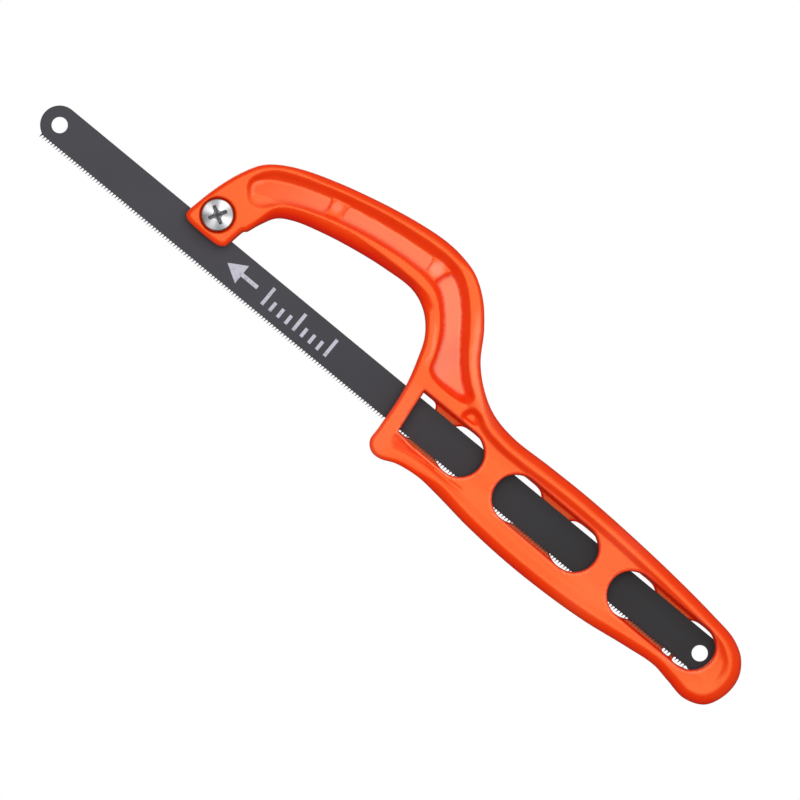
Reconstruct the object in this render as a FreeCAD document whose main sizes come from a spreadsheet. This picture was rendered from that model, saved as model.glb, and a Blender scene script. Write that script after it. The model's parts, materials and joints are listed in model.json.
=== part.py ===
import FreeCAD, Part
import math
import os

import Sketcher

# Hacksaw with a cast windowed handle. Millimetres, +Z up.
# +X runs along the blade from its tip to the handle, the teeth point down, the
# screw head is on the -Y side and Y = 0 is the middle of the blade's thickness.
# Stations are (along, above): the distance along the blade from its front hole,
# and the height above the line through the blade's two holes.

os.makedirs("parts", exist_ok=True)
doc = FreeCAD.newDocument("Hacksaw")
V = FreeCAD.Vector

HOLE_X = -131.1  # the blade's front hole, so that the part is centred on X = 0
HOLE_Z = 16.58  # the hole line, so that the guard toe stands on Z = 0
OUTSIDE = 9.0  # past the casting's faces, for cuts that open there

VALUES = (
    # blade
    ("hole_spacing", 254.0, "10 inch blade, hole to hole"),
    ("blade_half", 6.0, "hole line to the back edge, and to the tooth roots"),
    ("blade_thick", 0.65, ""),
    ("blade_hole_r", 2.5, ""),
    ("tooth_deep", 0.7, "makes the blade 12.7 wide"),
    ("tooth_pitch", 25.4 / 24, "24 teeth to the inch"),
    # casting
    ("handle_half", 8.0, "half thickness of the handle"),
    ("nose_half", 5.8, "half thickness of the nose"),
    ("rim_r", 1.5, "rounding of the outer rims"),
    ("panel_deep", 2.4, "depth of the sunk panels of the arm"),
    ("slot_half", 0.345, "half width of the blade channel"),
    ("tooth_room", 0.8, "half width of the channel at the teeth"),
    # clamp
    ("head_r", 4.9, "screw head"),
    ("head_high", 3.0, ""),
    ("head_sunk", 1.5, "depth of the seat of the screw head"),
    ("seat_r", 5.3, "radius of that seat"),
    ("shank_r", 2.5, "M5 thread"),
    ("bore_r", 2.75, "clearance bore for the shank"),
    ("nut_flats", 8.0, "M5 thin nut, across flats"),
    ("nut_thick", 2.7, ""),
    ("nut_bore_r", 2.55, ""),
    ("nut_sunk", 1.3, "depth of the nut's seat in the clamp plate"),
    ("play", 0.05, "running clearance"),
)
sheet = doc.addObject("Spreadsheet::Sheet", "Values")
for row, (word, number, note) in enumerate(VALUES, 1):
    sheet.set("A%d" % row, word)
    sheet.set("B%d" % row, repr(number))
    sheet.set("C%d" % row, note)
    sheet.setAlias("B%d" % row, word)
doc.recompute()
val = {word: number for word, number, note in VALUES}


# ---- helpers


def flat(along, above):
    """A station as a point of a sketch on the XZ plane."""
    return V(HOLE_X + along, HOLE_Z + above, 0)


def polygon(stations):
    """Straight edges round a closed outline of stations."""
    pts = [flat(*p) for p in stations]
    return [Part.LineSegment(a, b) for a, b in zip(pts, pts[1:] + pts[:1])]


def box(along_a, along_b, above_a, above_b):
    return polygon(
        ((along_a, above_a), (along_b, above_a), (along_b, above_b), (along_a, above_b))
    )


def ring(along, above, r):
    return [Part.Circle(flat(along, above), V(0, 0, 1), r)]


def flat_topped(along, above, r, top):
    """A circle cut off flat at a height."""
    reach = math.sqrt(r * r - (top - above) ** 2)
    right, left = flat(along + reach, top), flat(along - reach, top)
    return [Part.Arc(right, flat(along, above - r), left), Part.LineSegment(left, right)]


def hexagon(along, above, flats):
    """A hexagon with two corners level with its centre."""
    r = flats / 2 / math.cos(math.pi / 6)
    turns = [math.radians(60 * k) for k in range(6)]
    return polygon([(along + r * math.cos(t), above + r * math.sin(t)) for t in turns])


def slot(a, b):
    """A round-ended opening between two circles, each given as (along, above, r)."""
    ca, cb = flat(*a[:2]), flat(*b[:2])
    run = cb.sub(ca)
    lean = math.atan2(run.y, run.x)
    side = math.acos((a[2] - b[2]) / run.Length)

    def on(centre, r, angle):
        return centre.add(V(r * math.cos(angle), r * math.sin(angle), 0))

    a1, a2 = on(ca, a[2], lean + side), on(ca, a[2], lean - side)
    b1, b2 = on(cb, b[2], lean + side), on(cb, b[2], lean - side)
    return [
        Part.LineSegment(a2, b2),
        Part.Arc(b2, on(cb, b[2], lean), b1),
        Part.LineSegment(b1, a1),
        Part.Arc(a1, on(ca, a[2], lean + math.pi), a2),
    ]


def smooth_loop(runs):
    """A smooth closed outline through all the stations, with one curve for each run."""
    whole = Part.BSplineCurve()
    whole.interpolate(Points=[flat(*p) for run in runs for p in run], PeriodicFlag=True)
    ends = [whole.parameter(flat(*run[0])) for run in runs[1:]]
    ends = [whole.FirstParameter] + ends + [whole.LastParameter]
    pieces = []
    for low, high in zip(ends, ends[1:]):
        piece = whole.copy()
        piece.segment(low, high)
        pieces.append(piece)
    return pieces


def body(name):
    made = doc.addObject("PartDesign::Body", name)
    made.Label = name
    return made


def sketch(b, name, role, geometry, lift=0.0, radius=None):
    """A sketch on one of the body's own planes, raised along its normal. radius names
    the sheet value that drives a circle."""
    plane = [f for f in b.Origin.OriginFeatures if f.Role == role][0]
    made = b.newObject("Sketcher::SketchObject", name)
    made.AttachmentSupport = [(plane, "")]
    made.MapMode = "FlatFace"
    made.AttachmentOffset = FreeCAD.Placement(V(0, 0, lift), FreeCAD.Rotation())
    made.addGeometry(geometry, False)
    if radius:
        made.addConstraint(Sketcher.Constraint("Radius", 0, val[radius]))
        made.setExpression("Constraints[0]", "Values." + radius)
    return made


def add(b, name, geometry, y_low, y_high, radius=None, bind=None):
    """Adds the outline between two heights in Y. bind drives the length."""
    made = b.newObject("PartDesign::Pad", name)
    made.Profile = sketch(b, name + "_outline", "XZ_Plane", geometry, -y_low, radius)
    made.Length = y_high - y_low
    made.Reversed = True
    if bind:
        made.setExpression("Length", bind)
    doc.recompute()
    return made


def cut(b, name, geometry, y_low, y_high, radius=None, bind=None):
    """Takes the outline away between two heights in Y, and tests that it went."""
    before = b.Shape
    made = b.newObject("PartDesign::Pocket", name)
    made.Profile = sketch(b, name + "_outline", "XZ_Plane", geometry, -y_low, radius)
    made.Length = y_high - y_low
    if bind:
        made.setExpression("Length", bind)
    doc.recompute()
    edges = Part.__sortEdges__([g.toShape() for g in geometry])
    tool = Part.Face(Part.Wire(edges))
    tool.rotate(V(0, 0, 0), V(1, 0, 0), 90)
    tool.translate(V(0, y_low, 0))
    tool = tool.extrude(V(0, y_high - y_low, 0))
    taken, left = before.common(tool).Volume, b.Shape.common(tool).Volume
    if taken < 0.01 or left > 0.01 * taken:
        raise RuntimeError("%s took %.2f mm3 and left %.2f" % (name, taken, left))
    return made


def round_edges(b, name, radius, choose):
    """A fillet on those edges of the body's tip that choose accepts."""
    tip = b.Tip
    edges = enumerate(tip.Shape.Edges, 1)
    names = ["Edge%d" % number for number, e in edges if choose(e.BoundBox)]
    made = b.newObject("PartDesign::Fillet", name)
    made.Base = (tip, names)
    made.Radius = radius
    doc.recompute()
    if made.Shape.isNull() or not made.Shape.isValid():
        raise RuntimeError("%s failed on %s" % (name, names))
    return made


# ---- frame: handle, guard, arm and nose in one casting

OUTLINE = (
    # front of the nose and over the arm
    (
        (47.2, 5.0), (47.7, 8.2), (48.9, 13.8), (50.4, 19.0), (52.6, 24.6), (55.7, 29.9),
        (60.0, 33.5), (67.0, 37.1), (78.0, 40.9), (92.0, 44.5), (104.0, 46.8), (114.0, 47.8),
        (121.0, 47.3), (127.5, 45.5), (134.0, 41.1),
    ),
    # down the back of the arm
    ((140.0, 34.4), (145.7, 25.75), (152.0, 20.0), (159.0, 16.2)),
    # along the top of the handle
    (
        (168.0, 14.5), (182.0, 14.85), (197.0, 15.05), (214.0, 14.5), (232.0, 13.35),
        (249.0, 11.65),
    ),
    # round the pommel
    (
        (259.0, 10.0), (264.6, 6.7), (267.7, 1.6), (267.9, -4.6), (264.9, -11.1),
        (258.6, -13.7), (252.0, -12.75),
    ),
    # along the belly
    (
        (245.0, -11.7), (235.0, -12.75), (220.0, -14.9), (205.0, -15.95),
        (190.0, -16.15), (174.0, -15.3), (161.0, -13.8), (153.0, -13.25),
    ),
    # round the guard toe
    ((145.5, -14.3), (140.4, -16.35), (137.2, -16.3), (134.65, -14.05), (134.15, -9.0)),
    # up the guard and round the throat
    ((133.4, 0.0), (132.35, 6.5), (130.15, 14.2), (127.2, 21.5), (122.1, 27.0)),
    # under the arm
    (
        (115.5, 29.8), (105.0, 29.5), (93.0, 27.85), (82.1, 25.5), (74.1, 23.0),
        (69.4, 20.2), (66.7, 15.6), (64.9, 11.0), (63.5, 7.4),
    ),
    # bottom of the nose
    ((62.9, 4.4), (61.6, 2.75), (59.2, 2.2), (52.0, 2.2), (49.0, 2.5), (47.5, 3.4)),
)  # fmt: skip

SIDES = ((-1, "near"), (1, "far"))
frame = body("frame")
add(frame, "casting", smooth_loop(OUTLINE), -OUTSIDE, OUTSIDE)

# seen from above, the casting widens from the nose to the handle
WIDENS = (
    (38.0, val["nose_half"]), (66.0, val["nose_half"]), (160.0, val["handle_half"]),
    (280.0, val["handle_half"]),
)  # fmt: skip
for side, word in SIDES:
    pts = [V(HOLE_X + along, side * half, 0) for along, half in WIDENS]
    pts += [V(pts[-1].x, side * 20, 0), V(pts[0].x, side * 20, 0)]
    sides = [Part.LineSegment(a, b) for a, b in zip(pts, pts[1:] + pts[:1])]
    trim = frame.newObject("PartDesign::Pocket", "trim_" + word)
    trim.Profile = sketch(frame, "trim_%s_outline" % word, "XY_Plane", sides, -5)
    trim.Length = 80
    trim.Reversed = True
    doc.recompute()
for side, word in SIDES:
    round_edges(
        frame, "rim_" + word, val["rim_r"],
        lambda bb: bb.YLength < 2.5 and side * bb.Center.y > 5.2,
    )  # fmt: skip

# sunk panels of the arm, the same on both sides: (name, height of the face, outline)
PANELS = (
    ("front_panel", 6.2, (
        ((57.0, 23.6), (58.2, 28.0), (61.6, 31.4), (68.0, 34.4)),
        ((76.0, 36.9), (80.4, 37.4), (81.6, 35.6), (80.6, 33.6)),
        ((74.0, 30.8), (67.6, 27.4), (63.6, 22.8), (60.0, 20.6)),
    )),
    ("top_panel", 6.2, (
        ((83.6, 36.6), (86.4, 39.4), (98.0, 42.3), (108.0, 43.6)),
        ((114.6, 43.4), (116.2, 40.4), (114.6, 37.0), (106.0, 35.5)),
        ((96.0, 34.1), (87.0, 32.6), (84.0, 33.9)),
    )),
    ("root_panel", 7.2, (
        ((119.4, 37.6), (121.2, 41.4), (126.0, 42.6), (131.4, 40.0), (136.2, 34.0)),
        ((141.0, 26.8), (147.0, 19.4), (150.2, 16.2), (148.2, 13.2), (141.0, 12.9)),
        ((135.4, 13.8), (133.6, 19.4), (130.6, 25.8), (125.6, 31.6), (121.0, 34.8)),
    )),
)  # fmt: skip
for name, face, runs in PANELS:
    floor = face - val["panel_deep"]
    bind = "%g + Values.panel_deep" % (OUTSIDE - face)
    cut(frame, name + "_near", smooth_loop(runs), -OUTSIDE, -floor, bind=bind)
    cut(frame, name + "_far", smooth_loop(runs), floor, OUTSIDE)

# windows: the near ones end just past the far side of the blade and the far ones just
# past its near side. They meet at five round holes, so that together they leave a
# straight channel for the blade, with bars on alternate sides of it
HOLES = (
    (158.0, 0.8, 7.7), (180.7, 0.8, 7.7), (203.4, 0.6, 7.7), (226.4, 0.4, 7.6),
    (250.3, 0.2, 7.4),
)  # fmt: skip
FAR_TOPS = (7.85, 7.65, 7.4, 7.2, 6.95)  # where the far side of each hole stops short
GUIDE_LOW, GUIDE_TOP = -6.8, 6.1  # the channel where a near bar covers the blade
half = val["slot_half"]
first_along, first_above, first_r = HOLES[0]
top, low = first_above + first_r, first_above - first_r
front_window = [
    Part.LineSegment(flat(137.5, top), flat(first_along, top)),
    Part.Arc(
        flat(first_along, top), flat(first_along + first_r, first_above), flat(first_along, low)
    ),
    Part.LineSegment(flat(first_along, low), flat(139.45, low)),
    Part.LineSegment(flat(139.45, low), flat(137.5, top)),
]
bind = "%g + Values.slot_half" % OUTSIDE
cut(frame, "near_window_1", front_window, -OUTSIDE, half, bind=bind)
cut(frame, "near_window_2", slot(HOLES[1], HOLES[2]), -OUTSIDE, half, bind=bind)
cut(frame, "near_window_3", slot(HOLES[3], HOLES[4]), -OUTSIDE, half, bind=bind)
cut(frame, "far_mouth", box(125, 144, -6.25, 7.7), -half, OUTSIDE)
for number, (hole, flat_top) in enumerate(zip(HOLES, FAR_TOPS), 1):
    cut(frame, "far_hole_%d" % number, flat_topped(*hole, flat_top), -half, OUTSIDE)
cut(frame, "far_notch", box(244.3, 250.0, -6.9, -3.0), -half, OUTSIDE)
for number, (a, b) in enumerate(((0, 1), (2, 3)), 1):
    run = box(HOLES[a][0], HOLES[b][0], GUIDE_LOW, GUIDE_TOP)
    cut(frame, "far_window_%d" % number, run, -half, OUTSIDE)
cut(frame, "far_end", slot((250.7, 0.0, 6.4), (253.7, 0.0, 6.4)), -half, OUTSIDE)
room = val["tooth_room"]
cut(frame, "tooth_relief", box(125, 259.6, GUIDE_LOW - 0.3, -5.3), -room, room)

# nose: channel for the blade's back edge, seat and bore for the screw, and a pocket on
# the far side that keeps the clamp plate from turning
SCREW = (55.05, 9.5)
POCKET = (50.0, 62.0, 14.8)  # along from, along to, top
head_floor = -val["nose_half"] + val["head_sunk"]
cut(frame, "nose_channel", box(44, 67, -4, 6.1), -half, half, bind="2 * Values.slot_half")
cut(frame, "head_seat", ring(*SCREW, val["seat_r"]), -OUTSIDE, head_floor, "seat_r")
cut(frame, "screw_bore", ring(*SCREW, val["bore_r"]), -OUTSIDE, OUTSIDE, "bore_r")
cut(frame, "plate_pocket", box(POCKET[0], POCKET[1], 0, POCKET[2]), 1.0, OUTSIDE)
cut(frame, "jaw_gap", box(POCKET[0], POCKET[1], 0, 6.4), half - 0.01, 2.0)

# ---- blade

FIRST_TOOTH = -2.6
TOOTH_LEAN = 0.22  # each tooth's steep face looks away from the handle
pitch, root = val["tooth_pitch"], -val["blade_half"]
end, width = val["hole_spacing"], val["blade_half"]
count = int((end - FIRST_TOOTH) / pitch)
teeth = []
for k in range(count):
    along = FIRST_TOOTH + k * pitch
    teeth += [flat(along, root), flat(along + TOOTH_LEAN, root - val["tooth_deep"])]
teeth.append(flat(FIRST_TOOTH + count * pitch, root))
tip_low = flat(FIRST_TOOTH, -math.sqrt(width**2 - FIRST_TOOTH**2))
strip = [Part.LineSegment(a, b) for a, b in zip(teeth, teeth[1:])] + [
    Part.LineSegment(teeth[-1], flat(end, root)),
    Part.Arc(flat(end, root), flat(end + width, 0), flat(end, width)),
    Part.LineSegment(flat(end, width), flat(0, width)),
    Part.Arc(flat(0, width), flat(-width, 0), tip_low),
    Part.LineSegment(tip_low, teeth[0]),
]
blade = body("blade")
skin = val["blade_thick"] / 2
add(blade, "strip", strip, -skin, skin, bind="Values.blade_thick")
for word, along in (("front", 0.0), ("rear", end)):
    hole = ring(along, 0.0, val["blade_hole_r"])
    cut(blade, word + "_hole", hole, -1, 1, "blade_hole_r")

# ---- clamp plate: a jaw below that bears on the blade, and a seat for the nut behind

play = val["play"]
JAW_TOP, PLATE_LOW = 6.1, 2.4
plate_front, plate_back = 1.6, 4.145
outline = box(POCKET[0] + play, POCKET[1] - play, PLATE_LOW, POCKET[2] - play)
jaw = box(POCKET[0] + play, POCKET[1] - play, PLATE_LOW, JAW_TOP)
plate = body("clamp_plate")
add(plate, "plate_body", outline, plate_front, plate_back)
add(plate, "jaw", jaw, half, plate_front)
cut(plate, "plate_bore", ring(*SCREW, val["bore_r"]), -1, OUTSIDE, "bore_r")
nut_low = plate_back - val["nut_sunk"]
cut(plate, "nut_seat", hexagon(*SCREW, val["nut_flats"] + 0.06), nut_low, OUTSIDE)

# ---- clamp nut

nut = body("clamp_nut")
nut_top = nut_low + val["nut_thick"]
flats = hexagon(*SCREW, val["nut_flats"])
add(nut, "nut_body", flats, nut_low, nut_top, bind="Values.nut_thick")
cut(nut, "thread_bore", ring(*SCREW, val["nut_bore_r"]), -1, 12, "nut_bore_r")

# ---- clamp screw: pan head with a cross recess, standing a little proud of the nose

screw = body("clamp_screw")
head_low = head_floor - 0.02
head_top = head_low - val["head_high"]
add(screw, "head", ring(*SCREW, val["head_r"]), head_top, head_low, "head_r")
add(screw, "shank", ring(*SCREW, val["shank_r"]), head_low, nut_top + 0.6, "shank_r")
round_edges(
    screw, "head_rim", 0.9,
    lambda bb: abs(bb.Center.y - head_top) < 0.01 and bb.YLength < 0.01 and bb.XLength > 8,
)  # fmt: skip
for number, angle in enumerate((60, -30), 1):
    c, s = math.cos(math.radians(angle)), math.sin(math.radians(angle))
    corners = ((2.7, 0.45), (-2.7, 0.45), (-2.7, -0.45), (2.7, -0.45))
    arms = [(SCREW[0] + u * c - w * s, SCREW[1] + u * s + w * c) for u, w in corners]
    cut(screw, "cross_%d" % number, polygon(arms), head_top - 1, head_top + 2.1)

# ---- test and export

doc.recompute()
for o in doc.Objects:
    if any(word in o.State for word in ("Invalid", "Error")):
        raise RuntimeError("%s is %s" % (o.Name, o.State))
for b in (frame, blade, screw, plate, nut):
    shape = b.Shape
    if not shape.isValid() or len(shape.Solids) != 1:
        raise RuntimeError("%s has %d solids" % (b.Label, len(shape.Solids)))
    shape.exportStep("parts/%s.step" % b.Label)
    bb = shape.BoundBox
    print(
        "%-12s %9.1f mm3  X %.2f %.2f  Y %.2f %.2f  Z %.2f %.2f"
        % (b.Label, shape.Volume, bb.XMin, bb.XMax, bb.YMin, bb.YMax, bb.ZMin, bb.ZMax)
    )
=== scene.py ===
import json
import math

import bmesh
import bpy
import numpy as np
import openvdb
from mathutils import Matrix, Vector
from mathutils.geometry import tessellate_polygon


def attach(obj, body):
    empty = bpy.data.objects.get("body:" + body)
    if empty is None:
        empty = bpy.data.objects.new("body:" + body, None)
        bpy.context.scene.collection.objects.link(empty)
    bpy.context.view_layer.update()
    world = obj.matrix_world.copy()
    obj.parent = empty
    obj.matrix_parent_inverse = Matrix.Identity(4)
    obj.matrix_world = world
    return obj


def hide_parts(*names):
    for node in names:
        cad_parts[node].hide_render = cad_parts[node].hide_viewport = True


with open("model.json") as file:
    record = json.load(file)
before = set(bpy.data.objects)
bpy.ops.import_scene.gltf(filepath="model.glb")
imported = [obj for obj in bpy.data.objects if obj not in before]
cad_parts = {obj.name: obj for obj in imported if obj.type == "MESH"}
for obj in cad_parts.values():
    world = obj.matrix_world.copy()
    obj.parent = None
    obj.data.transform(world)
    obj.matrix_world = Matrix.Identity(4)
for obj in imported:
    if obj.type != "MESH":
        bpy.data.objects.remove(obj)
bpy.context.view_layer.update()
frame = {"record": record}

# Lengths are in millimetres, as (along, above): the distance along the blade from its
# front hole, and the height above the line through its two holes. place() and rows()
# turn them into the row frame's metres.
mounts = {m["name"]: m for m in frame["record"]["mounts"]}
HOLE = mounts["blade_front_hole"]["pos_m"]
MM = 0.001
# how finely the pieces' surfaces are worked out
COARSE = 1
CASTING_STEP, SCREW_STEP, PLATE_STEP = 0.34, 0.1, 0.13
scene = bpy.context.scene


def place(along, y, above):
    """One point as a row position."""
    return Vector((HOLE[0] + along * MM, y * MM, HOLE[2] + above * MM))


def rows(points):
    """An array of (along, y, above) as row positions."""
    p = np.asarray(points, float)
    return np.stack((HOLE[0] + p[:, 0] * MM, p[:, 1] * MM, HOLE[2] + p[:, 2] * MM), 1)


# ---- camera: square to the side of the saw, which hangs tip up in the view

LEAN = math.radians(39.53)
WIDTH = 0.24487  # what the view spans, in metres
LENS, SENSOR = 260.0, 36.0
right = Vector((math.cos(LEAN), 0, math.sin(LEAN)))
up = Vector((-math.sin(LEAN), 0, math.cos(LEAN)))
back = right.cross(up)
centre = place(133.9, 0, 1.4)

cam = bpy.data.objects.new("camera", bpy.data.cameras.new("camera"))
scene.collection.objects.link(cam)
scene.camera = cam
cam.data.sensor_width = SENSOR
cam.data.lens = LENS
cam.data.clip_start, cam.data.clip_end = 0.01, 20
cam.location = centre + back * (LENS / SENSOR * WIDTH)
cam.rotation_mode = "QUATERNION"
cam.rotation_quaternion = Matrix(np.array([right, up, back]).T.tolist()).to_quaternion()


# ---- curves and distances in the plane of the saw


def curve(stations, step=0.5):
    """A smooth closed line through stations, as an array of points."""
    p = np.array(stations, float)
    n = len(p)
    out = []
    for i in range(n):
        a, b, c, d = p[i - 1], p[i], p[(i + 1) % n], p[(i + 2) % n]
        gaps = [max(math.dist(*pair) ** 0.5, 1e-6) for pair in ((a, b), (b, c), (c, d))]
        t = np.cumsum([0] + gaps)
        count = max(2, int(math.dist(b, c) / step))
        s = np.linspace(t[1], t[2], count, endpoint=False)[:, None]

        def mix(u, v, t0, t1):
            return (t1 - s) / (t1 - t0) * u + (s - t0) / (t1 - t0) * v

        ab, bc, cd = mix(a, b, t[0], t[1]), mix(b, c, t[1], t[2]), mix(c, d, t[2], t[3])
        out.append(mix(mix(ab, bc, t[0], t[2]), mix(bc, cd, t[1], t[3]), t[1], t[2]))
    return np.concatenate(out)


class Field:
    """A regular grid over the side of the saw, with x along and z above."""

    def __init__(self, low, high, step):
        self.x = np.arange(low[0], high[0], step)
        self.z = np.arange(low[1], high[1], step)
        self.X, self.Z = np.meshgrid(self.x, self.z, indexing="ij")

    def inside(self, line, reach=9.0, far=50.0, open_line=False):
        """Distance to a line, negative inside it if it's closed. Past reach it isn't measured."""
        lo, hi = line.min(0) - reach, line.max(0) + reach
        i0, i1 = np.searchsorted(self.x, (lo[0], hi[0]))
        k0, k1 = np.searchsorted(self.z, (lo[1], hi[1]))
        X, Z = self.X[i0:i1, k0:k1], self.Z[i0:i1, k0:k1]
        best = np.full(X.shape, 1e9)
        odd = np.zeros(X.shape, bool)
        ends = np.roll(line, -1, 0)
        if open_line:
            line, ends = line[:-1], ends[:-1]
        for (ax, az), (bx, bz) in zip(line, ends):
            dx, dz = bx - ax, bz - az
            s = np.clip(((X - ax) * dx + (Z - az) * dz) / (dx * dx + dz * dz + 1e-12), 0, 1)
            np.minimum(best, (X - ax - s * dx) ** 2 + (Z - az - s * dz) ** 2, out=best)
            if az != bz:
                odd ^= ((az > Z) != (bz > Z)) & (X < (Z - az) * dx / dz + ax)
        out = np.full(self.X.shape, far)
        sign = 1 if open_line else np.where(odd, -1, 1)
        out[i0:i1, k0:k1] = sign * np.sqrt(best)
        return out


def soft_max(a, b, r):
    """The larger of two distances, with the edge between them rounded to radius r."""
    a, b = a + r, b + r
    return np.minimum(np.maximum(a, b), 0) + np.hypot(np.maximum(a, 0), np.maximum(b, 0)) - r


def ease(t):
    """0 below 0, 1 above 1, and a smooth step between."""
    t = np.clip(t, 0, 1)
    return t * t * (3 - 2 * t)


def capsule(g, a, b):
    """Distance to a round-ended slot between two circles (along, above, r)."""
    (ax, az, ra), (bx, bz, rb) = a, b
    dx, dz = bx - ax, bz - az
    s = np.clip(((g.X - ax) * dx + (g.Z - az) * dz) / (dx**2 + dz**2), 0, 1)
    return np.hypot(g.X - ax - s * dx, g.Z - az - s * dz) - (ra + s * (rb - ra))


def block(g, x0, x1, z0, z1, r=0.0):
    """Distance to a rectangle with corners of radius r."""
    dx = np.maximum(x0 - g.X, g.X - x1) + r
    dz = np.maximum(z0 - g.Z, g.Z - z1) + r
    return np.hypot(np.maximum(dx, 0), np.maximum(dz, 0)) + np.minimum(np.maximum(dx, dz), 0) - r


def hexagon(u, w, half):
    """Distance to a hexagon, half its width across the flats."""
    return np.maximum(np.abs(u), np.abs(u) / 2 + np.abs(w) * math.sqrt(0.75)) - half


def skinned(field, low, step):
    """The surface of a distance field as points, in (along, y, above), and quads."""
    grid = openvdb.FloatGrid(3.0)
    grid.copyFromArray(np.clip(field, -3, 3).astype(np.float32))
    points, quads = grid.convertToQuads(isovalue=0.0)
    return np.asarray(points, float) * step + low, np.asarray(quads).tolist()


def add_object(name, points, faces, origin=(0.0, 0.0, 0.0)):
    """A new object from (along, y, above) points and faces, placed at an origin."""
    mesh = bpy.data.meshes.new(name)
    mesh.from_pydata((rows(points) - origin).tolist(), [], faces)
    mesh.validate()
    made = bpy.data.objects.new(name, mesh)
    made.location = origin
    scene.collection.objects.link(made)
    return made


def smooth_object(name, points, quads, origin=(0.0, 0.0, 0.0)):
    """A smooth-shaded object whose faces point outwards."""
    made = add_object(name, points, quads, origin)
    made.data.shade_smooth()
    bm = bmesh.new()
    bm.from_mesh(made.data)
    if bm.calc_volume(signed=True) < 0:
        bmesh.ops.reverse_faces(bm, faces=bm.faces)
        bm.to_mesh(made.data)
    bm.free()
    return made


# ---- the casting

OUTLINE = (
    (47.2, 5.0), (47.7, 8.2), (48.9, 13.8), (50.4, 19.0), (52.6, 24.6), (55.7, 29.9),
    (60.0, 33.5), (67.0, 37.1), (78.0, 40.9), (92.0, 44.5), (104.0, 46.8), (114.0, 47.8),
    (121.0, 47.3), (127.5, 45.5), (134.0, 41.1), (140.0, 34.4), (145.7, 25.75),
    (152.0, 20.0), (159.0, 16.2), (168.0, 14.5), (182.0, 14.85), (197.0, 15.05),
    (214.0, 14.5), (232.0, 13.35), (249.0, 11.65), (259.0, 10.0), (264.6, 6.7),
    (267.7, 1.6), (267.9, -4.6), (264.9, -11.1), (258.6, -13.7), (252.0, -12.75),
    (245.0, -11.7), (235.0, -12.75), (220.0, -14.9), (205.0, -15.95), (190.0, -16.15),
    (174.0, -15.3), (161.0, -13.8), (153.0, -13.25), (145.5, -14.3), (140.4, -16.35),
    (137.2, -16.3), (134.65, -14.05), (134.15, -9.0), (133.4, 0.0), (132.35, 6.5),
    (130.15, 14.2), (127.2, 21.5), (122.1, 27.0), (115.5, 29.8), (105.0, 29.5),
    (93.0, 27.85), (82.1, 25.5), (74.1, 23.0), (69.4, 20.2), (66.7, 15.6), (65.2, 11.9),
    (64.85, 11.15), (64.2, 10.7), (63.6, 8.2), (63.2, 5.6), (62.7, 3.6), (61.2, 2.5),
    (59.2, 2.2), (52.0, 2.2), (49.0, 2.5), (47.5, 3.4),
)  # fmt: skip
# where the arm's outer edge and its inner edge start and end on the outline
ARM_OUTER = (50.4, 19.0), (152.0, 20.0)
ARM_INNER = (133.4, 0.0), (65.2, 11.9)

# the sunk channel along the arm and down to the handle, the foot of its walls, and the
# three deeper panels in its floor
CHANNEL = (
    (55.7, 23.6), (56.8, 27.4), (59.8, 31.2), (65.0, 34.0), (74.0, 37.4), (84.0, 40.2),
    (95.0, 42.7), (106.0, 44.2), (113.0, 44.8), (119.0, 44.7), (124.2, 43.4), (128.8, 40.4),
    (133.0, 36.2), (137.4, 30.7), (142.4, 24.0), (147.8, 18.8), (151.4, 16.2), (150.8, 13.3),
    (146.8, 12.2), (138.4, 12.2), (134.9, 13.6), (133.3, 18.6), (130.2, 24.4),
    (126.0, 29.6), (121.4, 33.0), (116.0, 34.2), (110.0, 34.6), (104.0, 34.1), (95.0, 32.9),
    (86.0, 31.0), (78.0, 28.4), (71.0, 25.2), (66.6, 21.8), (63.4, 18.8), (60.0, 18.1),
    (57.0, 20.4),
)  # fmt: skip
CHANNEL_FLOOR = (
    (57.0, 24.0), (58.8, 26.8), (62.4, 29.4), (68.0, 32.1), (77.0, 35.2), (86.0, 37.6),
    (96.0, 39.6), (106.0, 40.9), (112.0, 41.5), (116.6, 41.6), (120.6, 41.4), (124.6, 40.2),
    (128.6, 37.2), (132.4, 33.2), (136.2, 28.0), (140.8, 22.2), (145.4, 17.7), (148.2, 15.6),
    (147.6, 14.5), (145.0, 14.0), (138.0, 14.0), (135.6, 15.2), (134.0, 19.2), (131.4, 25.0),
    (127.2, 30.4), (122.8, 34.4), (119.0, 36.1), (114.0, 36.7), (109.0, 36.6), (103.0, 36.1),
    (95.0, 34.9), (87.0, 33.1), (79.0, 30.6), (71.0, 27.2), (66.0, 23.4), (63.0, 20.3),
    (60.4, 19.6), (58.0, 21.4),
)  # fmt: skip
CHANNEL_DEPTH = 1.75
PANELS = (  # how much deeper, how wide the step, outline
    (0.35, 0.8, (
        (54.0, 14.0), (50.0, 24.0), (56.0, 34.0), (68.0, 38.4), (75.4, 38.0), (78.6, 35.8),
        (79.7, 33.2), (79.3, 30.6), (76.8, 28.0), (70.0, 22.0), (62.0, 14.0),
    )),
    (0.3, 0.8, (
        (87.0, 41.0), (85.0, 38.2), (84.4, 35.6), (85.2, 32.6), (88.0, 30.2), (98.0, 31.0),
        (108.0, 33.0), (113.0, 34.4), (114.6, 36.8), (114.8, 39.6), (113.2, 42.8),
        (108.0, 44.4), (98.0, 43.6),
    )),
    (1.0, 2.0, (
        (119.8, 36.4), (120.1, 38.4), (121.6, 41.0), (124.0, 44.6), (134.0, 42.0),
        (142.0, 32.0), (150.0, 22.0), (156.0, 16.0), (150.0, 8.0), (138.0, 8.0),
        (130.0, 13.0), (126.0, 25.0), (121.0, 30.0), (119.4, 33.4),
    )),
)  # fmt: skip
# painted shade on the inner faces near the middle of the casting's thickness
PAINTED_INNER_SHADE = -0.22
# how much painted sheen the panels get at distances along the blade
PAINTED_SHEEN_ALONG = (60, 70, 77, 90, 118, 124, 139, 142.5)
PAINTED_SHEEN = (0.1, 0.42, 0.7, 0.97, 1.0, 1.45, 1.6, 1.15)
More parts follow.
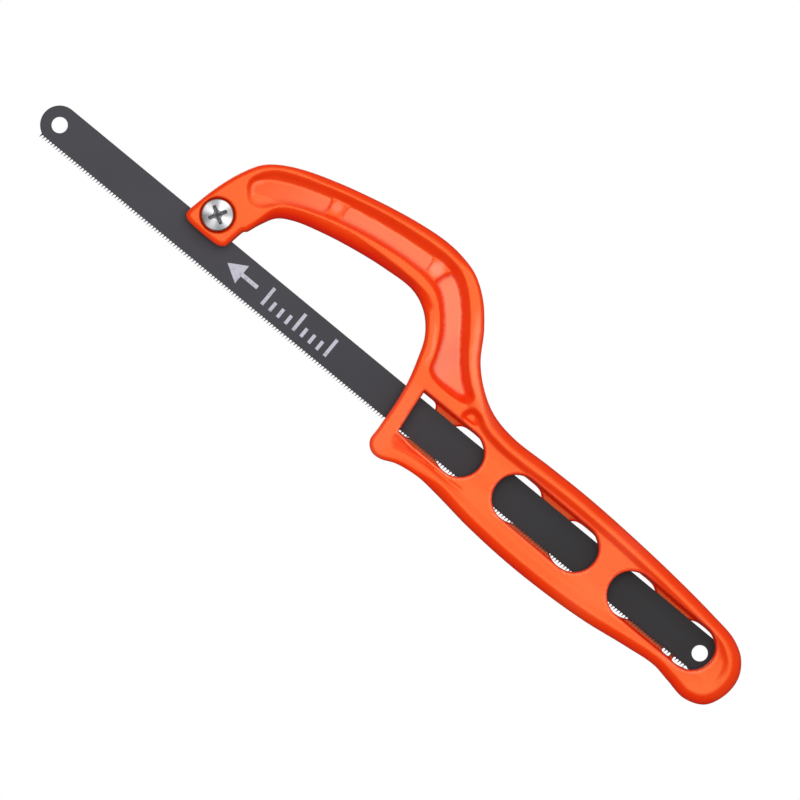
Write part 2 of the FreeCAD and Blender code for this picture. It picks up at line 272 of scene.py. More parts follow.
# painted highlights on the facets at the ends of the middle one of the panels: along, above, size,
# how bright
FACET_HIGHLIGHTS = ((81.7, 34.6, 1.5, 1.05), (117.2, 39.4, 2.0, 1.95))

# the web between the handle's two beads, a little below them, and its upper front corner
WEB = (
    (152.0, 8.0), (151.9, 10.6), (153.2, 13.0), (155.6, 12.9), (159.0, 11.0), (165.0, 9.7),
    (175.0, 9.4), (190.0, 10.1), (205.0, 9.9), (220.0, 9.3), (231.0, 8.7), (241.0, 7.9),
    (250.0, 7.2), (257.0, 5.8), (260.6, 2.6), (261.4, -2.0), (260.6, -6.4), (257.0, -9.0),
    (251.0, -8.7), (245.0, -8.1), (235.0, -8.7), (225.0, -9.7), (215.0, -10.6),
    (205.0, -11.2), (190.0, -11.3), (175.0, -10.6), (165.0, -9.7), (157.0, -9.1),
    (150.0, -9.5), (145.0, -10.6), (141.6, -12.2), (140.3, -9.6), (139.6, -6.4), (146.0, 0.0),
)  # fmt: skip
CORNER = (
    (151.9, 10.4), (153.2, 13.0), (155.2, 12.9), (157.6, 11.9), (157.4, 10.6), (154.0, 9.9),
)  # fmt: skip
# a shallow groove under the front window
GROOVE = (
    (139.7, -7.6), (139.9, -9.6), (141.4, -11.0), (146.0, -9.9), (152.0, -8.8), (159.0, -8.5),
    (166.0, -8.1), (166.0, -7.7), (159.0, -8.0), (152.0, -8.0), (146.0, -7.9),
)  # fmt: skip

# the round ends of the windows: along, above, radius
HOLES = (
    (158.0, 0.8, 7.7), (180.7, 0.8, 7.7), (203.4, 0.6, 7.7), (226.4, 0.4, 7.6),
    (250.3, 0.2, 7.4),
)  # fmt: skip
FAR_TOPS = (7.85, 7.65, 7.4, 7.2, 6.95)  # where the far side of each hole stops short
FRONT_EDGE, FRONT_SLANT = 139.45, 1.95  # the front window's front edge slants forward
FRONT_FLOOR, FRONT_RISE = -6.9, 0.5  # and its floor rises a little towards the front

# rectangles as (from, to, bottom, top)
FAR_MOUTH = (120, 144.1, -6.25, 7.7)
FAR_NOTCH, NOTCH_RIB = (244.3, 250.0, -6.9, -3.0), (247.7, 248.7, -9, -4.5)
NOSE_SLOT, TOOTH_RUN = (40, 68, -4, 6.2), (120, 259.7, -7.2, -5.2)
FAR_BOTTOM, FAR_TOP = -6.85, 6.2  # of the openings that join two far holes
END_SLOT = (250.7, 0, 6.5), (253.75, 0, 6.5)  # the last far hole, as its two ends

NOSE_HALF, HANDLE_HALF = 5.8, 8.0  # half the thickness
SLOT_HALF = 0.42  # half the gap that the blade slides in
RUN_HALF = 0.85  # half the gap that its set teeth slide in
SCREW = (55.05, 9.5)
SEAT_RADIUS, SEAT_FLOOR = 5.3, -4.3
BORE_RADIUS = 2.75
PLATE_SEAT, JAW_SEAT = (49.95, 62.05, -6, 14.85), (49.95, 62.05, -6, 6.4)
PLATE_SEAT_FLOOR, JAW_SEAT_FLOOR = 1.0, 0.41
BEYOND = 99.0  # further out than the casting reaches


def across_arm(g):
    """How far across the arm a point lies, from -1 on its inner edge to 1 on its outer."""
    distances = []
    for start, end in (ARM_INNER, ARM_OUTER):
        edge = np.array(OUTLINE[OUTLINE.index(start) : OUTLINE.index(end) + 1])
        distances.append(g.inside(edge, 40, open_line=True))
    to_inner, to_outer = distances
    return (to_inner - to_outer) / (to_inner + to_outer)


def underside(g):
    """1 along the lower edge of the arm, and 0 elsewhere."""
    X, Z = g.X, g.Z
    found = ease((34 - Z) / 3) * ease((X - 63) / 6) * ease((133.5 - X) / 3)
    return found * (1 - 0.3 * ease((X - 108) / 14)) * (1 - ease((X - 116) / 6) * ease((30 - Z) / 5))


def outer_rounding(g, below, front_bar):
    """The radius of the casting's edge: tight at the nose, full under the arm."""
    X = g.X
    r = 1.5 + 1.3 * ease((X - 62) / 14) - 1.5 * ease((X - 119) / 8) + 2.3 * ease((X - 150) / 12)
    r = np.maximum(r, (4.6 + 0.6 * ease((X - 93) / 10)) * below)
    return r * (1 - front_bar) + 1.2 * front_bar


def sunk_channel(g, across):
    """How deep the arm's channel is, and the painted sheen on its floor."""
    X, Z = g.X, g.Z
    rim, foot = g.inside(curve(CHANNEL)), g.inside(curve(CHANNEL_FLOOR))
    down = np.clip(-rim / np.maximum(-rim + np.maximum(foot, 0), 1e-6), 0, 1)
    down = ease(np.where(rim < 0, down, 0))

    # the floor leans: it's deeper beside the outer wall, and at the nose it rises to
    # meet the face
    lean = 0.82 + 1.05 * across + (0.18 + 0.15 * across) * ease((X - 112) / 10)
    nose = np.interp(Z - 0.35 * (X - 60), (22, 31), (0.15, 1.2))
    lean += (nose - lean) * ease((82 - X) / 12)
    depth = np.maximum(0, CHANNEL_DEPTH * down * lean)

    # the panels' painted sheen fades out up the lower wall
    spread = ease(-4 * across) * ease((118 - X) / 6)
    fade_start, fade_width = 0.2 - 0.5 * spread, 0.9 + 0.9 * spread
    wall_step = 1.4 + 1.6 * ease(0.5 - 2 * across) * ease((118 - X) / 8)
    sheen_and_shade = np.zeros_like(X)
    for extra, step, line in PANELS:
        edge = g.inside(curve(line))
        depth = depth + extra * ease(0.5 - edge / step) * ease(0.5 - foot / wall_step)
        sheen_and_shade = np.maximum(sheen_and_shade, ease(0.5 - (np.maximum(edge, foot) + fade_start) / fade_width))
    sheen_and_shade = sheen_and_shade * np.interp(X, PAINTED_SHEEN_ALONG, PAINTED_SHEEN)
    for along, above, size, most in FACET_HIGHLIGHTS:
        spot = np.hypot(X - along, (Z - above) * 0.85)
        sheen_and_shade = np.maximum(sheen_and_shade, most * ease(1.5 - spot / size))

    # a painted highlight line at the nose end of the floor, and one along the bead behind the
    # throat
    sheen_and_shade += 0.6 * ease(1 - np.abs(foot + 1.0) / 0.8) * ease((60.2 - X) / 1.2)
    bead = ease((X - 125) / 2) * ease((134 - X) / 2) * ease((28 - Z) / 4) * ease((Z - 12) / 4)
    sheen_and_shade += ease(1 - np.abs(rim - 1.1) / 0.9) * bead
    return depth, sheen_and_shade


def sunk_web(g, depth, inner):
    """The depth with the handle's web sunk in."""
    X, Z = g.X, g.Z
    web = g.inside(curve(WEB))
    # it drops away sharply under the upper bead, and softly over the lower one
    run = np.interp(Z, (-9, 5), (4.8, 2.0)) - 2.6 * ease((172 - X) / 12) * ease((-Z - 1) / 4)
    run += 3.5 * ease((X - 248) / 8) * ease((6 - Z) / 6)
    drop = 0.9 + 0.45 * ease((190 - X) / 24) * ease(Z / 6) - 0.3 * ease((-Z - 4) / 4)
    drop = drop * (1 - ease((-Z - 1) / 4) * (1 - ease((X - 142) / 14)))
    depth = np.maximum(depth, drop * ease(0.5 - web / np.maximum(run, 1.2)))
    corner = ease(0.5 - g.inside(curve(CORNER, 0.3)) / 1.2)
    depth = depth + 0.9 * corner * ease((158.5 - X) / 4)
    # the beads round the web are crowned, and so is the pommel
    crown = ease((X - 134) / 8) * ease((Z + 6) / 6) * np.clip((inner - 3.4) / 3, -1, 1) ** 2 * 0.3
    return depth + crown * ease(0.5 + web / 2)


def near_windows(g):
    """Distance to the three windows of the near side."""
    x, z, r = HOLES[0]
    slant = FRONT_EDGE - FRONT_SLANT * (g.Z - (z - r)) / (2 * r) - g.X
    front = np.maximum(block(g, 130, x, z - r, z + r), slant)
    front = np.maximum(front, FRONT_FLOOR + FRONT_RISE * ease((146 - g.X) / 6) - g.Z)
    windows = np.minimum(soft_max(front, slant, 0.6), np.hypot(g.X - x, g.Z - z) - r)
    windows = np.minimum(windows, capsule(g, HOLES[1], HOLES[2]))
    return np.minimum(windows, capsule(g, HOLES[3], HOLES[4]))


def far_windows(g):
    """Distance to the mouth and holes of the far side."""
    openings = block(g, *FAR_MOUTH, 2.2)
    for (x, z, r), top in zip(HOLES, FAR_TOPS):
        hole = soft_max(np.hypot(g.X - x, g.Z - z) - r, g.Z - top, 0.8)
        openings = np.minimum(openings, hole)
    for a, b in ((0, 1), (2, 3)):
        join = block(g, HOLES[a][0], HOLES[b][0], FAR_BOTTOM, FAR_TOP)
        openings = np.minimum(openings, join)
    # the last hole is a slot, with a notch at its lower front and a small rib in the notch
    openings = np.minimum(openings, capsule(g, *END_SLOT))
    openings = np.minimum(openings, block(g, *FAR_NOTCH, 0.8))
    return np.maximum(openings, -block(g, *NOTCH_RIB))


def coat(g, sheen_and_shade, near, inner, across, below, front_bar, groove):
    """The painted sheen and painted shade on the casting, given the painted sheen in the channel.
    """
    X, Z = g.X, g.Z
    # painted sheen on the front bar, between the last two windows and on the outer
    # bead where the arm meets the handle, and painted shade in the groove and on the undersides
    sheen_and_shade = sheen_and_shade - 0.25 * groove * ease((168 - X) / 20)
    sheen_and_shade = sheen_and_shade + 0.2 * front_bar + 0.14 * ease(1 - np.abs(X - 215) / 14)
    bend = ease((X - 133) / 6) * ease((168 - X) / 28) * ease(4 * across)
    sheen_and_shade = sheen_and_shade + 1.05 * bend * ease(1 - np.abs(inner - 2.0) / 1.8)
    low = below + 0.6 * ease((-Z - 6) / 4) * ease((X - 142) / 6)
    sheen_and_shade = sheen_and_shade - 0.25 * low * ease(1.2 - inner / 3)
    # painted highlight along the windows' lips, more so below
    lip_highlight = ease(1 - np.abs(near - 0.6) / 0.5) * np.interp(Z, (-5, 4), (0.95, 0.3))
    lip_highlight = lip_highlight * (1 - 0.7 * ease((X - 228) / 4) * ease((246 - X) / 4))
    return sheen_and_shade + np.where(near > 0, np.maximum(lip_highlight - np.maximum(sheen_and_shade, 0), 0), 0)


def casting(voxel):
    """Points, quads and the painted sheen at each point, below 0 where there is painted shade
    instead.
    """
    g = Field((45.4, -18.2), (270.0, 49.6), voxel)
    X, Z = g.X, g.Z
    skin = g.inside(curve(OUTLINE))
    inner = -skin
    across = across_arm(g)
    below = underside(g)
    front_bar = ease((142 - X) / 4) * ease((10 - Z) / 4) * ease((X - 128) / 4)
    groove = ease(0.5 - g.inside(curve(GROOVE, 0.3)) / 1.2)
    near, far = near_windows(g), far_windows(g)

    depth, sheen_and_shade = sunk_channel(g, across)
    depth = sunk_web(g, depth, inner) + 0.2 * groove
    sheen_and_shade = coat(g, sheen_and_shade, near, inner, across, below, front_bar, groove)

    # the face widens from the nose to the handle
    half = np.interp(X, (66, 160), (NOSE_HALF, HANDLE_HALF))
    rounding = outer_rounding(g, below, front_bar)
    y = np.arange(-9.2, 9.2, voxel)
    Y = y[None, :, None]
    face = (half - depth)[:, None, :]
    solid = soft_max(skin[:, None, :], np.abs(Y) - face, rounding[:, None, :])

    def cut(flat, low, high, r, draft=0.0):
        """What is left when a flat outline is cut away between two heights in Y."""
        between = np.maximum(low - Y, Y - high)
        return soft_max(solid, -np.maximum(flat[:, None, :] + draft, between), r)

    # the near windows' upper walls have a draft
    draft = (0.07 * ease((Z - 3) / 4))[:, None, :] * np.clip(Y + 7.5, 0, 7.5)
    solid = cut(near, -BEYOND, SLOT_HALF, 0.5, draft)
    solid = cut(far, -SLOT_HALF, BEYOND, 0.5)
    solid = cut(block(g, *TOOTH_RUN), -RUN_HALF, RUN_HALF, 0.1)
    solid = cut(block(g, *NOSE_SLOT), -SLOT_HALF, SLOT_HALF, 0.1)
    axis = np.hypot(X - SCREW[0], Z - SCREW[1])
    solid = cut(axis - SEAT_RADIUS, -BEYOND, SEAT_FLOOR, 0.3)
    solid = cut(axis - BORE_RADIUS, -BEYOND, BEYOND, 0.1)
    solid = cut(block(g, *PLATE_SEAT), PLATE_SEAT_FLOOR, BEYOND, 0.25)
    solid = cut(block(g, *JAW_SEAT), JAW_SEAT_FLOOR, BEYOND, 0.1)

    points, quads = skinned(solid, (g.x[0], y[0], g.z[0]), voxel)
    i = np.clip(np.rint((points[:, 0] - g.x[0]) / voxel).astype(int), 0, len(g.x) - 1)
    k = np.clip(np.rint((points[:, 2] - g.z[0]) / voxel).astype(int), 0, len(g.z) - 1)
    # painted shade inside, near the middle of the casting's thickness
    inner_shade = ease((1.4 - np.abs(points[:, 1])) / 0.8) * ease(inner[i, k] - 1)
    return points, quads, sheen_and_shade[i, k] * (1 - inner_shade) + PAINTED_INNER_SHADE * inner_shade


# tone is painted sheen above 0 and painted shade below 0, which the paint reads as a point
# attribute
points, quads, tone = casting(CASTING_STEP * COARSE)
casting_piece = smooth_object("frame_casting", points, quads)
attribute = casting_piece.data.attributes.new("painted_sheen_and_shade", "FLOAT", "POINT")
attribute.data.foreach_set("value", tone.astype(np.float32))


# ---- clamp: screw, nut and plate

screw_at = place(SCREW[0], 0, SCREW[1])
HEAD_TOP, HEAD_LOW, SCREW_END = -7.32, -4.32, 6.145
HEAD_RADIUS = 4.88
RECESS_ARM, RECESS_WIDTH, RECESS_DEPTH = 3.1, 0.56, 0.75  # half length and half width
PIT_RADIUS, PIT_DEPTH = 1.35, 1.4  # the cone in the middle of the cross
SHANK_RADIUS = 2.5
THREAD_RADIUS, THREAD_DEPTH, THREAD_PITCH = 2.49, 0.36, 0.8
NUT_LOW, NUT_TOP, NUT_HALF, NUT_BORE = 2.845, 5.545, 4.0, 2.56
NUT_GAP = 0.06  # between the nut and its seat
PLATE_ENDS, PLATE_BOTTOM, PLATE_TOP, JAW_TOP = (50.05, 61.95), 2.4, 14.75, 6.1
PLATE_NEAR, PLATE_FAR, JAW_NEAR = 1.6, 4.145, 0.35  # in Y


def around_screw(half, y0, y1, step):
    """Coordinates about the screw's axis over a block: u along, y, w above."""
    side = np.arange(-half, half + step, step)
    deep = np.arange(y0, y1 + step, step)
    return np.meshgrid(side, deep, side, indexing="ij"), (SCREW[0] - half, y0, SCREW[1] - half)


def screw_mesh(step):
    """A pan head with a cross recess, and a threaded shank."""
    (U, Y, W), low = around_screw(5.3, HEAD_TOP - 0.4, SCREW_END + 0.4, step)
    R = np.hypot(U, W)
    into = Y - HEAD_TOP
    thick = HEAD_LOW - HEAD_TOP
    head = soft_max(R - HEAD_RADIUS, np.abs(into - thick / 2) - thick / 2, 0.7)
    head = np.maximum(head, -(into - 0.012 * R**2))  # a little domed
    for degrees in (60, -30):
        c, s = math.cos(math.radians(degrees)), math.sin(math.radians(degrees))
        length = np.abs(U * c + W * s) - (RECESS_ARM - 0.9 * into)
        width = np.abs(W * c - U * s) - (RECESS_WIDTH - 0.65 * into)
        head = soft_max(head, -np.maximum(np.maximum(length, width), into - RECESS_DEPTH), 0.08)
    head = soft_max(head, -np.maximum(R - (PIT_RADIUS - 0.9 * into), into - PIT_DEPTH), 0.1)
    turns = (Y / THREAD_PITCH + np.arctan2(W, U) / math.tau) % 1
    thread = THREAD_DEPTH * (1 - np.abs(2 * turns - 1)) * ease((Y + 1.2) / 0.8)
    tip = R - SHANK_RADIUS + 0.7 * np.maximum(Y - SCREW_END + 0.7, 0)
    shank = np.maximum((R - THREAD_RADIUS + thread) * 0.8, tip)
    shank = np.maximum(shank, np.maximum(HEAD_LOW - 0.2 - Y, Y - SCREW_END))
    return skinned(np.minimum(head, shank), low, step)


def nut_mesh(step):
    """A hexagon nut, chamfered at both ends."""
    (U, Y, W), low = around_screw(5.1, NUT_LOW - 0.4, NUT_TOP + 0.4, step)
    R = np.hypot(U, W)
    ends = np.minimum(Y - NUT_LOW, NUT_TOP - Y)
    nut = soft_max(hexagon(U, W, NUT_HALF), -ends, 0.12)
    nut = soft_max(nut, (R - 3.95 - 1.7 * ends) * 0.5, 0.1)
    nut = soft_max(nut, -(R - NUT_BORE - 0.35 * np.maximum(0.5 - ends, 0)), 0.06)
    return skinned(nut, low, step)


def plate_mesh(step):
    """The plate, with a jaw that reaches in over the blade and a seat sunk for the nut."""
    g = Field((49.4, 1.8), (62.8, 15.4), step)
    deep = np.arange(0.0, 4.6, step)
    Y = deep[None, :, None]
    side = block(g, *PLATE_ENDS, PLATE_BOTTOM, PLATE_TOP, 0.9)[:, None, :]
    plate = soft_max(side, np.maximum(PLATE_NEAR - Y, Y - PLATE_FAR), 0.3)
    side = block(g, *PLATE_ENDS, PLATE_BOTTOM, JAW_TOP, 0.4)[:, None, :]
    plate = np.minimum(plate, soft_max(side, np.maximum(JAW_NEAR - Y, Y - 3), 0.15))
    U, W = g.X - SCREW[0], g.Z - SCREW[1]
    plate = soft_max(plate, (BORE_RADIUS - np.hypot(U, W))[:, None, :], 0.15)
    seat = hexagon(U, W, NUT_HALF + NUT_GAP)[:, None, :]
    plate = soft_max(plate, -np.maximum(seat, NUT_LOW - Y), 0.15)
    return skinned(plate, (g.x[0], deep[0], g.z[0]), step)


screw = smooth_object("screw", *screw_mesh(SCREW_STEP * COARSE), screw_at)
nut = smooth_object("nut", *nut_mesh(SCREW_STEP * COARSE), screw_at)
plate = smooth_object("plate", *plate_mesh(PLATE_STEP * COARSE), screw_at)


# ---- blade

BLADE_LENGTH, BLADE_HALF, BLADE_HOLE = 254.0, 6.0, 2.5  # between holes, half width, radius
PITCH, TEETH, FIRST_TOOTH = 25.4 / 24, 242, -2.6
THICK, ROOT, TIP = 0.325, -5.65, -6.7  # half the thickness, then heights
BAND = -4.6  # the teeth are set to each side below this
TOOTH_SET, SET_WAVE = 0.12, 8.5  # how far, and over what length
END_POINTS, HEEL_POINTS, HOLE_POINTS = 22, 6, 40  # along each curve


def arc(x, r, start, end, count, endpoint=True):
    """Points round a circle on the blade's middle line."""
    angles = np.linspace(start, end, count, endpoint=endpoint)
    return [(x + r * math.cos(a), r * math.sin(a)) for a in angles]


def blade_outline():
    """The strip's round ends and back, then its teeth, as one closed line."""
    # one tooth: a face that leans forward, then a back that falls away into a gullet
    tooth = (
        (0.0, TIP), (0.07, TIP + 0.04), (0.27, TIP + 0.42), (0.42, ROOT - 0.14),
        (0.6, ROOT), (0.95, ROOT), (1.08, ROOT - 0.16),
    )  # fmt: skip
    edge = [(FIRST_TOOTH + (k + u) * PITCH, above) for k in range(TEETH) for u, above in tooth]
    edge.append((FIRST_TOOTH + TEETH * PITCH, ROOT))
    low = math.asin(BAND / BLADE_HALF)
    rear = arc(BLADE_LENGTH, BLADE_HALF, low, math.pi / 2, END_POINTS)
    front = arc(0.0, BLADE_HALF, math.pi / 2, math.pi - low, END_POINTS)
    # below the band the round ends close on the first and last tooth
    heel = math.pi + math.acos(-FIRST_TOOTH / BLADE_HALF)
    lead = arc(0.0, BLADE_HALF, math.pi - low, heel, HEEL_POINTS)
    tail = arc(BLADE_LENGTH, BLADE_HALF, -math.pi / 2, low, HEEL_POINTS)
    toe = (FIRST_TOOTH, -math.sqrt(BLADE_HALF**2 - FIRST_TOOTH**2))
    return rear + front + lead[1:-1] + [toe] + edge + tail[:-1]


def solid_strip(outline, holes):
    """Both faces and the walls of a flat plate with holes, its teeth set in waves."""
    loops = [outline, *holes]
    flat = [p for loop in loops for p in loop]
    triangles = tessellate_polygon([[Vector((x, z, 0)) for x, z in loop] for loop in loops])
    n = len(flat)
    points, faces = [], []
    for side in (-1, 1):
        for along, above in flat:
            bent = TOOTH_SET * ease((BAND - above) / (BAND - TIP))
            wave = math.sin(math.tau * along / SET_WAVE)
            points.append((along, side * THICK + bent * wave, above))
    for a, b, c in triangles:
        faces += [(a, b, c), (n + c, n + b, n + a)]
    start = 0
    for loop in loops:
        m = len(loop)
        for i in range(m):
            a, b = start + i, start + (i + 1) % m
            faces.append((a, b, n + b, n + a))
        start += m
    return points, faces


holes = [arc(x, BLADE_HOLE, math.tau, 0, HOLE_POINTS, False) for x in (0.0, BLADE_LENGTH)]
blade = add_object("blade_strip", *solid_strip(blade_outline(), holes))
bm = bmesh.new()
bm.from_mesh(blade.data)
bmesh.ops.recalc_face_normals(bm, faces=bm.faces)
bm.to_mesh(blade.data)
bm.free()

# plain printed marks: an arrow for the way the teeth cut, and a row of ticks
MARKS = [
    [(66.4, 0.2), (72.2, 3.6), (72.2, 0.85), (78.4, 0.85), (78.4, -0.45), (72.2, -0.45),
     (72.2, -3.2)],
]  # fmt: skip
FIRST_TICK, TICK_GAP, TICK_HALF, TICK_LOW = 82.6, 3.1, 0.55, -3.0
TICKS, LONG_TICK, SHORT_TICK = 9, 3.4, 0.2
INK = 0.012  # how far the marks stand off the blade
for i in range(TICKS):
    along = FIRST_TICK + TICK_GAP * i
    high = LONG_TICK if i % 4 == 0 else SHORT_TICK
    a, b = along - TICK_HALF, along + TICK_HALF
    MARKS.append([(a, TICK_LOW), (a, high), (b, high), (b, TICK_LOW)])
points, faces = [], []
for mark in MARKS:
    start = len(points)
    points += [(along, -THICK - INK, above) for along, above in mark]
    faces.append(list(range(start, len(points))))
marks = add_object("blade_marks", points, faces)


# ---- materials


def material(name):
    """A new material, its nodes and links, and its shader."""
    made = bpy.data.materials.new(name)
    made.use_nodes = True
    nodes = made.node_tree.nodes
    return made, nodes, made.node_tree.links, nodes["Principled BSDF"]


def node(nodes, kind, **values):
    """A new node, with values for its inputs or its own settings."""
    made = nodes.new(kind)
    for key, value in values.items():
        if key in made.inputs:
            made.inputs[key].default_value = value
        else:
            setattr(made, key, value)
    return made


def noise(nodes, links, place_at, scale, detail):
    """Noise over an object's own coordinates."""
    made = node(nodes, "ShaderNodeTexNoise", Scale=scale, Detail=detail)
    links.new(place_at, made.inputs["Vector"])
    return made.outputs["Fac"]


def ramp(nodes, links, source, start, first, end, last):
    """A colour that goes from first, at start, to last, at end."""
    made = node(nodes, "ShaderNodeValToRGB")
    for element, position, colour in zip(made.color_ramp.elements, (start, end), (first, last)):
        element.position = position
        element.color = (*colour, 1)
    links.new(source, made.inputs["Fac"])
    return made.outputs["Color"]


def remap(nodes, links, source, given, wanted=(0.0, 1.0)):
    """A value that goes over the wanted range as its source goes over the given one."""
    made = node(nodes, "ShaderNodeMapRange")
    made.inputs["From Min"].default_value, made.inputs["From Max"].default_value = given
    made.inputs["To Min"].default_value, made.inputs["To Max"].default_value = wanted
    links.new(source, made.inputs["Value"])
    return made.outputs[0]


def blend(nodes, links, amount, first, second):
    """One colour over another. Either is an output or a plain colour."""
    # sockets 0, 6 and 7 are the amount and the two colours
    made = node(nodes, "ShaderNodeMix", data_type="RGBA")
    links.new(amount, made.inputs[0])
    for socket, colour in ((made.inputs[6], first), (made.inputs[7], second)):
        if isinstance(colour, tuple):
            socket.default_value = (*colour, 1)
        else:
            links.new(colour, socket)
    return made


def roughen(nodes, links, shader, height, strength, distance):
    """A fine relief in the surface."""
    bump = node(nodes, "ShaderNodeBump", Strength=strength, Distance=distance)
    links.new(height, bump.inputs["Height"])
    links.new(bump.outputs["Normal"], shader.inputs["Normal"])


def paint():
    """Orange paint, mixed towards a pale salmon where the attribute carries painted sheen and
    darkened where it carries painted shade, with a faint orange peel.
    """
    made, nodes, links, shader = material("orange_paint")
    shader.inputs["Roughness"].default_value = 0.3
    shader.inputs["Specular Tint"].default_value = (1.0, 0.82, 0.26, 1)
    place_at = node(nodes, "ShaderNodeTexCoord").outputs["Object"]
    cloud = noise(nodes, links, place_at, 38.0, 3.0)
    tone = ramp(nodes, links, cloud, 0.3, (0.93, 0.034, 0.002), 0.7, (0.99, 0.044, 0.004))
    painted_sheen_and_shade = node(nodes, "ShaderNodeAttribute", attribute_name="painted_sheen_and_shade").outputs["Fac"]
    # less gloss where the attribute carries painted shade, on the inner faces and undersides
    gloss = remap(nodes, links, painted_sheen_and_shade, (-0.5, 0.0), (0.1, 0.75))
    links.new(gloss, shader.inputs["Specular IOR Level"])
    sheen_mix = blend(nodes, links, painted_sheen_and_shade, tone, (1.0, 0.15, 0.09))
    sheen_mix.clamp_factor = False
    sheen_mix.clamp_result = True
    links.new(sheen_mix.outputs[2], shader.inputs["Base Color"])
    roughen(nodes, links, shader, noise(nodes, links, place_at, 900.0, 1.0), 0.12, 0.0001)
    return made


def blade_steel():
    """Dark paint, darker towards the handle end as painted shade, and bare steel at the tooth tips.
    """
    made, nodes, links, shader = material("blade_paint")
    shader.inputs["Specular IOR Level"].default_value = 0.35
    place_at = node(nodes, "ShaderNodeTexCoord").outputs["Object"]
    stretch = node(nodes, "ShaderNodeMapping", Scale=(0.02, 1.0, 1.0))
    links.new(place_at, stretch.inputs["Vector"])
    grain = noise(nodes, links, stretch.outputs[0], 5200.0, 3.0)
    cloud = noise(nodes, links, place_at, 60.0, 4.0)
    tone = ramp(nodes, links, cloud, 0.0, (0.049, 0.047, 0.058), 1.0, (0.059, 0.057, 0.07))
    # painted shade: the paint is darker along the blade into the handle
    shaded_in_handle = ramp(nodes, links, cloud, 0.0, (0.0195, 0.022, 0.0255), 1.0, (0.024, 0.0268, 0.031))
    split = node(nodes, "ShaderNodeSeparateXYZ")
    links.new(place_at, split.inputs[0])
    in_handle = remap(nodes, links, split.outputs["X"], (HOLE[0] + 80 * MM, HOLE[0] + 200 * MM))
    handle_shade = blend(nodes, links, in_handle, tone, shaded_in_handle)
    bare = remap(nodes, links, split.outputs["Z"], (HOLE[2] - 5.8 * MM, HOLE[2] - 6.6 * MM))
    worn = blend(nodes, links, bare, handle_shade.outputs[2], (0.22, 0.22, 0.225))
    links.new(worn.outputs[2], shader.inputs["Base Color"])
    links.new(bare, shader.inputs["Metallic"])
    rough = remap(nodes, links, grain, (0.0, 1.0), (0.5, 0.62))
    links.new(rough, shader.inputs["Roughness"])
    roughen(nodes, links, shader, grain, 0.08, 0.00005)
    return made


def printed():
    """Grey ink, a little flecked."""
    made, nodes, links, shader = material("print")
    place_at = node(nodes, "ShaderNodeTexCoord").outputs["Object"]
    fleck = noise(nodes, links, place_at, 900.0, 4.0)
    tone = ramp(nodes, links, fleck, 0.32, (0.40, 0.40, 0.46), 0.5, (0.56, 0.56, 0.65))
    links.new(tone, shader.inputs["Base Color"])
    shader.inputs["Roughness"].default_value = 0.6
    return made


def turned(nodes, links, shader, split, tint):
    """Fine rings about the screw's axis, painted highlight wedges round it, and painted shade in
    the recess that is darker as it gets deeper.
    """
    flat = node(nodes, "ShaderNodeCombineXYZ")
    links.new(split.outputs["X"], flat.inputs["X"])
    links.new(split.outputs["Z"], flat.inputs["Y"])
    radius = node(nodes, "ShaderNodeVectorMath", operation="LENGTH")
    links.new(flat.outputs[0], radius.inputs[0])
    grain = node(nodes, "ShaderNodeTexNoise", noise_dimensions="1D", Scale=9000.0, Detail=2.0)
    links.new(radius.outputs["Value"], grain.inputs["W"])
    # painted highlights in wedges, which fade in and out round the axis, as on turned steel
    angle = node(nodes, "ShaderNodeMath", operation="ARCTAN2")
    links.new(split.outputs["Z"], angle.inputs[0])
    links.new(split.outputs["X"], angle.inputs[1])
    fourfold = node(nodes, "ShaderNodeMath", operation="MULTIPLY_ADD")
    fourfold.inputs[1].default_value, fourfold.inputs[2].default_value = 4.0, math.radians(-24)
    links.new(angle.outputs[0], fourfold.inputs[0])
    wave = node(nodes, "ShaderNodeMath", operation="COSINE")
    links.new(fourfold.outputs[0], wave.inputs[0])
    half = node(nodes, "ShaderNodeMath", operation="MULTIPLY_ADD")
    half.inputs[1].default_value, half.inputs[2].default_value = 0.5, 0.5
    links.new(wave.outputs[0], half.inputs[0])
    painted_wedges = ramp(nodes, links, half.outputs[0], 0.15, (0.3, 0.3, 0.31), 0.95, tint)
    # painted shade, darker deeper in the cross recess
    given = (HEAD_TOP + 0.3) * MM, (HEAD_TOP + 0.9) * MM
    deep = remap(nodes, links, split.outputs["Y"], given, (0.0, 0.85))
    recess_shade = blend(nodes, links, deep, painted_wedges, (0.16, 0.16, 0.17))
    links.new(recess_shade.outputs[2], shader.inputs["Base Color"])
    shader.inputs["Anisotropic"].default_value = 0.8
    tangent = node(nodes, "ShaderNodeTangent", direction_type="RADIAL", axis="Y")
    links.new(tangent.outputs[0], shader.inputs["Tangent"])
    return grain.outputs["Fac"]


def plated(name, tint, rough, metallic, rings):
    """Plated steel with fine marks: turned rings with painted highlight wedges and painted recess
    shade, or a plain grain.
    """
    made, nodes, links, shader = material(name)
    shader.inputs["Base Color"].default_value = (*tint, 1)
    shader.inputs["Metallic"].default_value = metallic
    place_at = node(nodes, "ShaderNodeTexCoord").outputs["Object"]
    if rings:
        split = node(nodes, "ShaderNodeSeparateXYZ")
        links.new(place_at, split.inputs[0])
        grain = turned(nodes, links, shader, split, tint)
    else:
        grain = noise(nodes, links, place_at, 1800.0, 4.0)
    gloss = remap(nodes, links, grain, (0.0, 1.0), (rough - 0.05, rough + 0.1))
    links.new(gloss, shader.inputs["Roughness"])
    roughen(nodes, links, shader, grain, 0.25, 0.00002)
    return made


def dress(piece, finish, body, slot, *nodes):
    """Gives a piece its finish, its body and the nodes that it stands for. The slot is not used."""
    piece.data.materials.append(finish)
    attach(piece, body)
    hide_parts(*nodes)


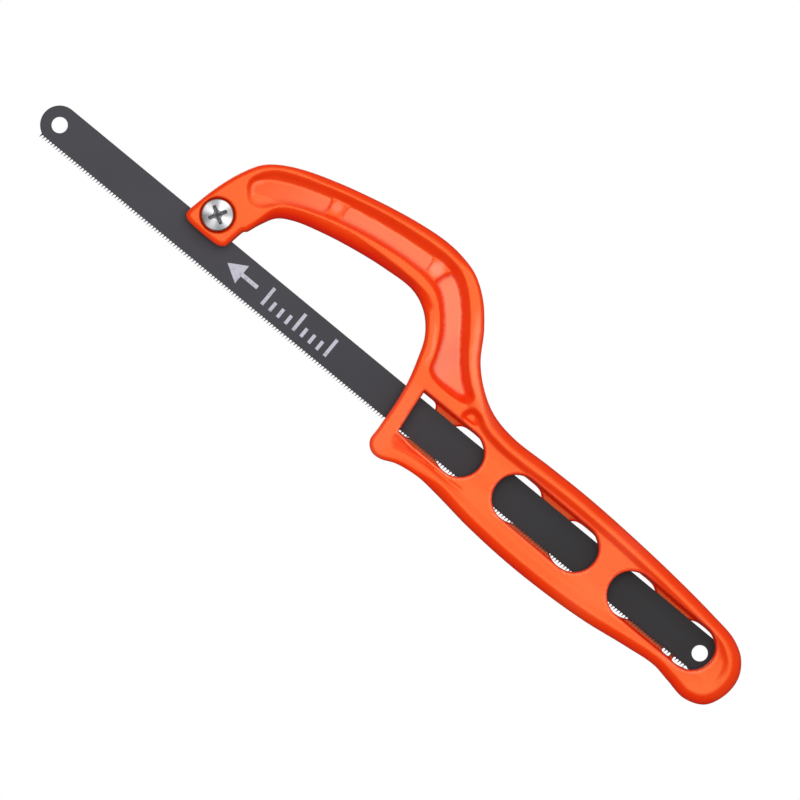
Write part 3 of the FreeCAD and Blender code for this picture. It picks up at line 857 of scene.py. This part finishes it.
screw_steel = plated("plated_steel", (0.68, 0.68, 0.7), 0.3, 0.75, True)
plain_steel = plated("plate_steel", (0.6, 0.6, 0.62), 0.42, 0.6, False)
dress(casting_piece, paint(), "handle", "orange_paint", "frame")
dress(blade, blade_steel(), "blade", "blade_paint", "blade")
dress(marks, printed(), "blade", "blade_paint")
dress(screw, screw_steel, "screw", "plated_steel", "clamp_screw")
dress(nut, plain_steel, "clamp", "plated_steel", "clamp_nut")
dress(plate, plain_steel, "clamp", "plate_steel", "clamp_plate")


# ---- light: three soft panels in a plain white surround


def area(name, direction, distance, side, power):
    """A square light that shines on the saw from a direction."""
    lamp = bpy.data.lights.new(name, "AREA")
    lamp.shape = "RECTANGLE"
    lamp.size, lamp.size_y = side, side
    lamp.energy = power
    made = bpy.data.objects.new(name, lamp)
    scene.collection.objects.link(made)
    made.location = centre + direction.normalized() * distance
    made.rotation_mode = "QUATERNION"
    made.rotation_quaternion = direction.to_track_quat("Z", "Y")
    made.visible_camera = False


area("front", back + up * 0.05, 1.4, 0.8, 3.3)
area("key", back + up * 0.34 + right * 0.22, 1.8, 1.6, 12.8)
area("rear", up * 0.8 - back - right * 0.4, 1.8, 1.4, 9.0)

world = bpy.data.worlds.new("white")
scene.world = world
world.use_nodes = True
nodes, links = world.node_tree.nodes, world.node_tree.links
white = nodes["Background"]
white.inputs["Color"].default_value = (1, 1, 1, 1)
white.inputs["Strength"].default_value = 1.0
# soft light from all round, a little stronger from the top of the view
room = node(nodes, "ShaderNodeBackground", Color=(1, 1, 1, 1))
sky = node(nodes, "ShaderNodeTexCoord")
height = node(nodes, "ShaderNodeVectorMath", operation="DOT_PRODUCT")
height.inputs[1].default_value = up
links.new(sky.outputs["Generated"], height.inputs[0])
glow = remap(nodes, links, height.outputs["Value"], (-1.0, 1.0), (0.5, 0.58))
links.new(glow, room.inputs["Strength"])
# the surround is dim in reflections, so that they show the lights
dim = node(nodes, "ShaderNodeBackground", Color=(1, 1, 1, 1), Strength=0.035)
rays = node(nodes, "ShaderNodeLightPath")
mirror = node(nodes, "ShaderNodeMixShader")
links.new(rays.outputs["Is Glossy Ray"], mirror.inputs[0])
links.new(room.outputs[0], mirror.inputs[1])
links.new(dim.outputs[0], mirror.inputs[2])
seen = node(nodes, "ShaderNodeMixShader")
links.new(rays.outputs["Is Camera Ray"], seen.inputs[0])
links.new(mirror.outputs[0], seen.inputs[1])
links.new(white.outputs[0], seen.inputs[2])
links.new(seen.outputs[0], nodes["World Output"].inputs[0])
scene.view_settings.view_transform = "Standard"
